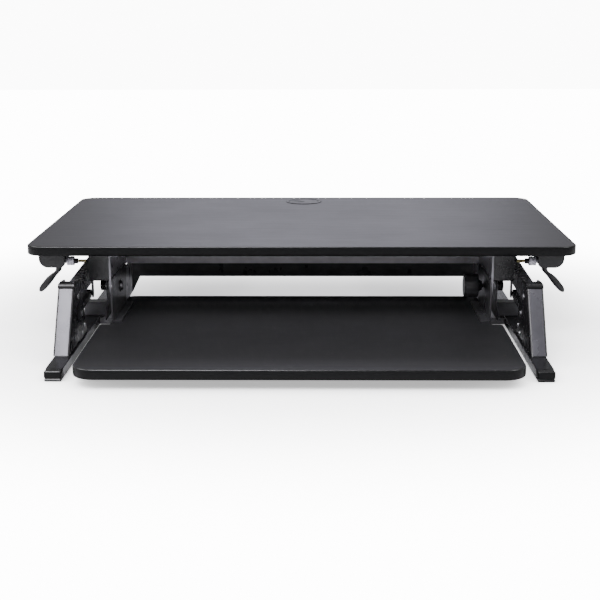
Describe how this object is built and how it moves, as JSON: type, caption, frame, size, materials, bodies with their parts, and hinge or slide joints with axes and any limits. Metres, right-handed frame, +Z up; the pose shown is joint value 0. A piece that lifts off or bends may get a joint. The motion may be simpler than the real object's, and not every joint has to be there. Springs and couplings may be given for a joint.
{
  "type": "standing desk converter",
  "caption": "Desktop sit-stand converter: a grey worktop on parallel lift arms with side squeeze levers, a rear cable grommet and a tilting keyboard tray hung below its front.",
  "frame": {"origin": "centre of the bounding box on the desk surface, in the lowest position", "axes": "+X to the right of the user, +Y away from the user, +Z up"},
  "size_m": [0.89, 0.793, 0.1562],
  "materials": {
    "laminate": "fine-grained charcoal laminate on board, satin",
    "grey_paint": "satin grey powder coat",
    "black_paint": "satin black powder coat",
    "black_plastic": "matt moulded plastic",
    "cable_jacket": "smooth cable jacket",
    "zinc": "zinc plated",
    "brass": "turned"
  },
  "bodies": {
    "base": {"base_plate": "black_paint", "foot_tube_left": "black_paint", "foot_tube_right": "black_paint", "foot_front_cap_left": "black_plastic", "foot_front_cap_right": "black_plastic", "foot_rear_cap_left": "black_plastic", "foot_rear_cap_right": "black_plastic", "tower_left": "grey_paint", "tower_right": "grey_paint", "tower_cap_left": "black_plastic", "tower_cap_right": "black_plastic", "inner_bracket_left": "grey_paint", "inner_bracket_right": "grey_paint", "lift_pin_left": "zinc", "lift_pin_right": "zinc", "spring_anchor_pin_left": "zinc", "spring_anchor_pin_right": "zinc", "follower_pin_left": "zinc", "follower_pin_right": "zinc"},
    "lift_arms": {"arm_cross_tube": "black_paint", "main_arm_left": "black_paint", "main_arm_right": "black_paint", "gas_spring_cylinder_left": "black_paint", "gas_spring_cylinder_right": "black_paint"},
    "spring_rod_left": {"gas_spring_rod_left": "zinc"},
    "spring_rod_right": {"gas_spring_rod_right": "zinc"},
    "follower_left": {"follower_arm_left": "black_paint"},
    "follower_right": {"follower_arm_right": "black_paint"},
    "worktop": {"worktop_board": "laminate", "grommet_ring": "black_plastic", "front_crossbar": "grey_paint", "rear_beam": "black_paint", "frame_rail_left": "grey_paint", "frame_rail_right": "grey_paint", "worktop_pin_left": "zinc", "worktop_pin_right": "zinc", "follower_top_pin_left": "zinc", "follower_top_pin_right": "zinc", "hanger_left": "grey_paint", "hanger_right": "grey_paint", "lever_housing_left": "black_plastic", "lever_housing_right": "black_plastic", "lever_pin_left": "zinc", "lever_pin_right": "zinc", "cable_sleeve_left": "grey_paint", "cable_sleeve_right": "grey_paint", "adjuster_nut_left": "black_plastic", "adjuster_nut_right": "black_plastic", "brass_adjuster_left": "brass", "brass_adjuster_right": "brass", "release_cable_left": "cable_jacket", "release_cable_right": "cable_jacket"},
    "grommet_cap": {"grommet_cap": "black_plastic"},
    "lever_left": {"release_lever_left": "black_plastic"},
    "lever_right": {"release_lever_right": "black_plastic"},
    "tray": {"keyboard_tray": "laminate", "tilt_bolt": "zinc", "tray_bracket_left": "black_paint", "tray_bracket_right": "black_paint"},
    "tilt_knob": {"tilt_knob": "black_plastic"}
  },
  "joints": [
    {"name": "lift", "type": "hinge", "parent": "base", "child": "lift_arms", "pos_m": [0, -0.19, 0.088], "axis": [1, 0, 0], "range_deg": [0, 62]},
    {"name": "worktop_level", "type": "hinge", "parent": "lift_arms", "child": "worktop", "pos_m": [0, 0.19976, 0.10161], "axis": [1, 0, 0], "range_deg": [-62, 0]},
    {"name": "follower_swing_left", "type": "hinge", "parent": "base", "child": "follower_left", "pos_m": [-0.336, -0.0285, 0.07], "axis": [1, 0, 0], "range_deg": [0, 62]},
    {"name": "spring_stroke_left", "type": "slide", "parent": "lift_arms", "child": "spring_rod_left", "axis": [0, -0.9994, -0.0349], "range_m": [0, 0.0392]},
    {"name": "follower_swing_right", "type": "hinge", "parent": "base", "child": "follower_right", "pos_m": [0.336, -0.0285, 0.07], "axis": [1, 0, 0], "range_deg": [0, 62]},
    {"name": "spring_stroke_right", "type": "slide", "parent": "lift_arms", "child": "spring_rod_right", "axis": [0, -0.9994, -0.0349], "range_m": [0, 0.0392]},
    {"name": "squeeze_left", "type": "hinge", "parent": "worktop", "child": "lever_left", "pos_m": [-0.4, -0.0975, 0.127], "axis": [0, 1, 0], "range_deg": [0, 18], "stiffness_Nm_per_rad": 0.6, "springref_deg": -8.59},
    {"name": "squeeze_right", "type": "hinge", "parent": "worktop", "child": "lever_right", "pos_m": [0.4, -0.0975, 0.127], "axis": [0, -1, 0], "range_deg": [0, 18], "stiffness_Nm_per_rad": 0.6, "springref_deg": -8.59},
    {"name": "tray_tilt", "type": "hinge", "parent": "worktop", "child": "tray", "pos_m": [0, -0.0385, 0.072], "axis": [1, 0, 0], "range_deg": [-6, 0]},
    {"name": "knob_turn", "type": "hinge", "parent": "worktop", "child": "tilt_knob", "pos_m": [0.285, -0.0385, 0.072], "axis": [1, 0, 0], "range_deg": [0, 270]},
    {"name": "grommet_turn", "type": "hinge", "parent": "worktop", "child": "grommet_cap", "pos_m": [0, 0.3405, 0.1562], "axis": [0, 0, 1], "continuous": true}
  ],
  "couplings": [
    {"joint": "worktop_level", "follows": "lift", "ratio": -1},
    {"joint": "follower_swing_left", "follows": "lift", "ratio": 1},
    {"joint": "spring_stroke_left", "follows": "lift", "m_per_rad": 0.036173},
    {"joint": "follower_swing_right", "follows": "lift", "ratio": 1},
    {"joint": "spring_stroke_right", "follows": "lift", "m_per_rad": 0.036173}
  ]
}
